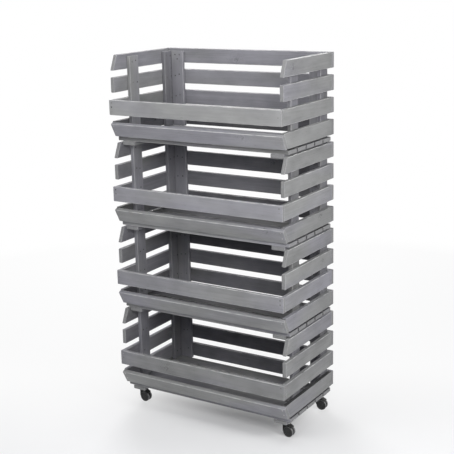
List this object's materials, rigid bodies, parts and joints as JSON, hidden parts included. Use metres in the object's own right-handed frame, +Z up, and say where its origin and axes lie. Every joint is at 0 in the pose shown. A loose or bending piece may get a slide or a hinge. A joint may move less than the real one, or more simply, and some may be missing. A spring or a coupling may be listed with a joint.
{
  "type": "vegetable rack",
  "caption": "Tall rack of open-fronted slatted crates stacked on small swivel casters, for storing vegetables.",
  "frame": {"origin": "on the floor under the middle of the rack's outline", "axes": "+Z up along the stack, +Y from the open front to the back, +X to the right seen from the front"},
  "size_m": [0.6, 0.326, 1.137],
  "materials": {
    "stained_pine": "matt grey stain on planed pine",
    "zinc_steel": "dull zinc plating",
    "black_plastic": "fine moulded grain",
    "wheel_plastic": "smooth hard plastic"
  },
  "bodies": {
    "crate_1": {"crate_1_left_slats": "stained_pine", "crate_1_right_slats": "stained_pine", "crate_1_back_slats": "stained_pine", "crate_1_lip_board": "stained_pine", "crate_1_low_board": "stained_pine", "crate_1_left_posts": "stained_pine", "crate_1_right_posts": "stained_pine", "crate_1_back_posts": "stained_pine", "crate_1_floor_boards": "stained_pine", "crate_1_battens": "stained_pine", "front_left_plate": "zinc_steel", "front_right_plate": "zinc_steel", "rear_left_plate": "zinc_steel", "rear_right_plate": "zinc_steel", "king_pins": "zinc_steel", "retaining_rings": "zinc_steel"},
    "crate_2": {"crate_2_left_slats": "stained_pine", "crate_2_right_slats": "stained_pine", "crate_2_back_slats": "stained_pine", "crate_2_lip_board": "stained_pine", "crate_2_low_board": "stained_pine", "crate_2_left_posts": "stained_pine", "crate_2_right_posts": "stained_pine", "crate_2_back_posts": "stained_pine", "crate_2_floor_boards": "stained_pine", "crate_2_battens": "stained_pine"},
    "crate_3": {"crate_3_left_slats": "stained_pine", "crate_3_right_slats": "stained_pine", "crate_3_back_slats": "stained_pine", "crate_3_lip_board": "stained_pine", "crate_3_low_board": "stained_pine", "crate_3_left_posts": "stained_pine", "crate_3_right_posts": "stained_pine", "crate_3_back_posts": "stained_pine", "crate_3_floor_boards": "stained_pine", "crate_3_battens": "stained_pine"},
    "crate_4": {"crate_4_left_slats": "stained_pine", "crate_4_right_slats": "stained_pine", "crate_4_back_slats": "stained_pine", "crate_4_lip_board": "stained_pine", "crate_4_low_board": "stained_pine", "crate_4_left_posts": "stained_pine", "crate_4_right_posts": "stained_pine", "crate_4_back_posts": "stained_pine", "crate_4_floor_boards": "stained_pine", "crate_4_battens": "stained_pine"},
    "front_left_swivel": {"front_left_hood": "black_plastic"},
    "front_left_wheel_set": {"front_left_axle": "zinc_steel", "front_left_wheels": "wheel_plastic"},
    "front_right_swivel": {"front_right_hood": "black_plastic"},
    "front_right_wheel_set": {"front_right_axle": "zinc_steel", "front_right_wheels": "wheel_plastic"},
    "rear_left_swivel": {"rear_left_hood": "black_plastic"},
    "rear_left_wheel_set": {"rear_left_axle": "zinc_steel", "rear_left_wheels": "wheel_plastic"},
    "rear_right_swivel": {"rear_right_hood": "black_plastic"},
    "rear_right_wheel_set": {"rear_right_axle": "zinc_steel", "rear_right_wheels": "wheel_plastic"}
  },
  "joints": [
    {"name": "crate_2_lift", "type": "slide", "parent": "crate_1", "child": "crate_2", "axis": [0, 0, 1], "range_m": [0, 0.12]},
    {"name": "crate_3_lift", "type": "slide", "parent": "crate_2", "child": "crate_3", "axis": [0, 0, 1], "range_m": [0, 0.12]},
    {"name": "crate_4_lift", "type": "slide", "parent": "crate_3", "child": "crate_4", "axis": [0, 0, 1], "range_m": [0, 0.12]},
    {"name": "front_left_turn", "type": "hinge", "parent": "crate_1", "child": "front_left_swivel", "pos_m": [-0.268, -0.09, 0.043], "axis": [0, 0, 1], "continuous": true},
    {"name": "front_left_roll", "type": "hinge", "parent": "front_left_swivel", "child": "front_left_wheel_set", "pos_m": [-0.26, -0.09, 0.016], "axis": [0, 1, 0], "continuous": true},
    {"name": "front_right_turn", "type": "hinge", "parent": "crate_1", "child": "front_right_swivel", "pos_m": [0.268, -0.09, 0.043], "axis": [0, 0, 1], "continuous": true},
    {"name": "front_right_roll", "type": "hinge", "parent": "front_right_swivel", "child": "front_right_wheel_set", "pos_m": [0.276, -0.09, 0.016], "axis": [0, 1, 0], "continuous": true},
    {"name": "rear_left_turn", "type": "hinge", "parent": "crate_1", "child": "rear_left_swivel", "pos_m": [-0.268, 0.131, 0.043], "axis": [0, 0, 1], "continuous": true},
    {"name": "rear_left_roll", "type": "hinge", "parent": "rear_left_swivel", "child": "rear_left_wheel_set", "pos_m": [-0.26003, 0.1317, 0.016], "axis": [-0.0872, 0.9962, 0], "continuous": true},
    {"name": "rear_right_turn", "type": "hinge", "parent": "crate_1", "child": "rear_right_swivel", "pos_m": [0.268, 0.131, 0.043], "axis": [0, 0, 1], "continuous": true},
    {"name": "rear_right_roll", "type": "hinge", "parent": "rear_right_swivel", "child": "rear_right_wheel_set", "pos_m": [0.27597, 0.1317, 0.016], "axis": [-0.0872, 0.9962, 0], "continuous": true}
  ]
}
